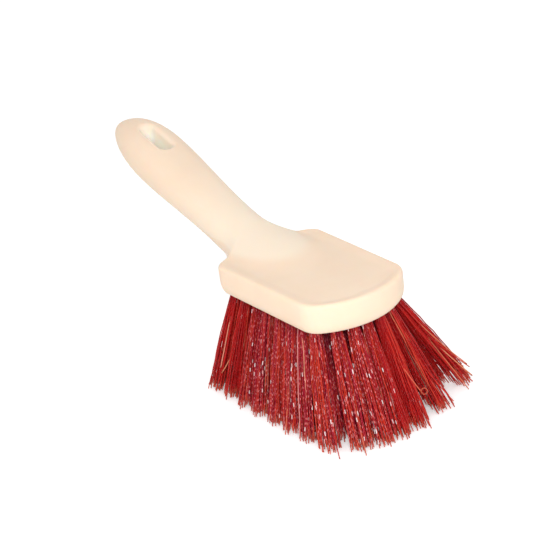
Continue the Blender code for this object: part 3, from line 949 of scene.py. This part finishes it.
# loose filaments that stand out of the trimmed fill: the tuft they grow from, their tip and their tone
strays = {
    "radius": 0.00027,
    "sides": 6,
    "steps": 14,
    "rootScatter": 0.0013,
    "ends": (
        (8, 7, (0.0415, 0.0500, -0.0543), 0.955), (8, 7, (0.0455, 0.0490, -0.0542), 0.972),
        (8, 7, (0.0477, 0.0500, -0.0600), 0.985), (8, 7, (0.0425, 0.0485, -0.0582), 0.98),
        (8, 7, (0.0460, 0.0500, -0.0560), 0.93), (8, 7, (0.0430, 0.0490, -0.0634), 0.97),
        (8, 7, (0.0490, 0.0460, -0.0652), 0.97), (7, 7, (0.0395, 0.0495, -0.0610), 0.96),
        (8, 6, (0.0575, 0.0290, -0.0609), 0.93), (8, 6, (0.0565, 0.0280, -0.0648), 0.96),
        (1, 1, (-0.0487, -0.0385, -0.0652), 0.965), (1, 1, (-0.0455, -0.0385, -0.0600), 0.98),
        (1, 2, (-0.0500, -0.0330, -0.0650), 0.90), (2, 1, (-0.0360, -0.0372, -0.0545), 0.98),
        (1, 1, (-0.0338, -0.0385, -0.0500), 0.99), (6, 1, (0.0200, -0.0400, -0.0640), 0.97),
        (8, 1, (0.0535, -0.0345, -0.0645), 0.95), (8, 2, (0.0590, -0.0240, -0.0650), 0.97),
        (4, 7, (0.0040, 0.0420, -0.0630), 0.96), (1, 6, (-0.0540, 0.0210, -0.0620), 0.97),
        (1, 4, (-0.0555, -0.0040, -0.0640), 0.95), (2, 7, (-0.0330, 0.0430, -0.0600), 0.98),
    ),
    "curlTuft": (8, 5),
    "curlMiddle": (0.0572, 0.0126, -0.0487),
    "curlFacing": (0.78, -0.48, 0.40),
    "curlRadius": 0.0014,
    "curlTurn": math.radians(400),
    "curlTone": 0.964,
    "curlSteps": 28,
    "curlDrift": 3,  # in filament radii, how far the coil rises over its turns
    "seed": 5,
}


def bend(start, middle, end, steps):
    # a smooth line that leaves start towards middle and ends at end
    line = []
    for step in range(steps + 1):
        share = step / steps
        line.append(start.lerp(middle, share).lerp(middle.lerp(end, share), share))
    return line


def sweepFilament(mesh, line, tone, phase):
    # a closed tube along the line, with what the filament's finish reads
    layers = [mesh.verts.layers.float[name] for name in strandLayers]
    side = (line[1] - line[0]).orthogonal().normalized()
    rings = []
    for index, point in enumerate(line):
        run = (line[min(index + 1, len(line) - 1)] - line[max(index - 1, 0)]).normalized()
        side = (side - run * side.dot(run)).normalized()
        beside = run.cross(side)
        ring = []
        for corner in range(strays["sides"]):
            angle = fullTurn * corner / strays["sides"]
            arm = side * math.cos(angle) + beside * math.sin(angle)
            vert = mesh.verts.new(point + arm * strays["radius"])
            for layer, value in zip(layers, (tone, phase, index / (len(line) - 1))):
                vert[layer] = value
            ring.append(vert)
        rings.append(ring)
    for lower, upper in zip(rings, rings[1:]):
        for corner in range(len(lower)):
            after = (corner + 1) % len(lower)
            mesh.faces.new((lower[corner], lower[after], upper[after], upper[corner]))
    mesh.faces.new(rings[0][::-1])
    mesh.faces.new(rings[-1])


def makeStrays():
    chance = random.Random(strays["seed"])
    places = {(row, column): (mouth, axis) for row, column, mouth, axis in tuftPlaces()}

    def leave(tuft, tip):
        # out of the hole along the tuft, then across to the tip
        mouth, axis = places[tuft]
        scatter = Vector((chance.uniform(-1, 1), chance.uniform(-1, 1), 0)) * strays["rootScatter"]
        start = mouth + scatter - axis * filaments["sockets"]["Root Depth"]
        middle = start + axis * (tip - start).length / 2
        return bend(start, middle, tip, strays["steps"])

    mesh = bmesh.new()
    for name in strandLayers:
        mesh.verts.layers.float.new(name)
    for row, column, tip, tone in strays["ends"]:
        sweepFilament(mesh, leave((row, column), Vector(tip)), tone, chance.random())
    facing, middle = Vector(strays["curlFacing"]).normalized(), Vector(strays["curlMiddle"])
    first = facing.cross(Vector((0, 0, 1))).normalized()
    second = facing.cross(first)
    line = leave(strays["curlTuft"], middle + first * strays["curlRadius"])
    drift = facing * strays["radius"] * strays["curlDrift"]
    for step in range(1, strays["curlSteps"] + 1):
        share = step / strays["curlSteps"]
        angle = strays["curlTurn"] * share
        arm = first * math.cos(angle) + second * math.sin(angle)
        line.append(middle + arm * strays["curlRadius"] + drift * share)
    sweepFilament(mesh, line, strays["curlTone"], chance.random())
    piece = meshObject("stray_filaments", mesh)
    piece.data.shade_smooth()
    piece.data.materials.append(filamentFinish)
    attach(piece, "root")
    print("acid brush: stray filaments,", len(piece.data.polygons), "faces")


makeStrays()


# floor, world and lamps
stage = {
    "floorSize": 6.0,
    "floorDrop": 0.0001,
    "worldLight": 0.78,
    "lamps": {
        "keyLamp": {"power": 1.60, "size": 0.30, "distance": 0.65, "from": (0.78, -0.48, 0.40)},
        "sparkLamp": {"power": 0.45, "size": 0.06, "distance": 0.62, "from": (0.74, -0.42, 0.52)},
    },
}
floorLook = {
    "glow": 0.28,  # what the camera sees added to the lit floor, up to white
    "mottleScale": 2,
    "pitScale": 400,
    "pitShare": 0.4,
    "bumpStrength": 0.05,
    "bumpDepth": 0.0002,
    "surface": {"Base Color": (0.96, 0.96, 0.96, 1), "Roughness": 0.9, "Specular IOR Level": 0},
}


def whiteRays(tree):
    # 1 for the rays that should meet a white background: the camera's, and those of gloss and glass
    ray = addNode(tree, "ShaderNodeLightPath")
    clear = calc(tree, "MAXIMUM", ray.outputs["Is Glossy Ray"], ray.outputs["Is Transmission Ray"])
    return calc(tree, "MAXIMUM", ray.outputs["Is Camera Ray"], clear)


def makeFloor():
    look = floorLook
    material, tree, shader = newMaterial("paleFloor", look["surface"])
    skin = placeGrain(tree, addNode(tree, "ShaderNodeTexCoord").outputs["Object"], look)
    setBump(tree, shader, look["bumpStrength"], look["bumpDepth"], skin["Height"])
    glow = calc(tree, "MULTIPLY", whiteRays(tree), look["glow"])
    glow = addNode(tree, "ShaderNodeEmission", {"Strength": glow})
    both = addNode(tree, "ShaderNodeAddShader", {0: shader.outputs["BSDF"], 1: glow.outputs["Emission"]})
    tree.links.new(both.outputs["Shader"], tree.nodes["Material Output"].inputs["Surface"])
    layOut(tree)
    mesh = bmesh.new()
    bmesh.ops.create_grid(mesh, x_segments=1, y_segments=1, size=stage["floorSize"] / 2)
    bmesh.ops.translate(mesh, vec=(0, 0, trimHeight - stage["floorDrop"]), verts=mesh.verts)
    floor = meshObject("floor", mesh)
    floor.data.materials.append(material)


def makeWorld():
    # white where the camera or a gloss sees it, and a plain level of light elsewhere
    world = bpy.data.worlds.new("studioWorld")
    bpy.context.scene.world = world
    world.use_nodes = True
    tree = world.node_tree
    background = tree.nodes["Background"]
    strength = calc(tree, "MULTIPLY_ADD", whiteRays(tree), 1 - stage["worldLight"], stage["worldLight"])
    tree.links.new(strength, background.inputs["Strength"])
    background.inputs["Color"].default_value = (1, 1, 1, 1)
    layOut(tree)


def makeLamps():
    for name, lamp in stage["lamps"].items():
        data = bpy.data.lights.new(name, "AREA")
        data.energy = lamp["power"]
        data.shape = "SQUARE"
        data.size = lamp["size"]
        toward = Vector(lamp["from"]).normalized()
        place = toward.to_track_quat("Z", "Y").to_matrix().to_4x4()
        place.translation = Vector(camera["aim"]) + toward * lamp["distance"]
        sceneObject(name, data).matrix_world = place


makeFloor()
makeWorld()
makeLamps()
bpy.context.scene.view_settings.view_transform = "Standard"
print("acid brush: stage and light set")
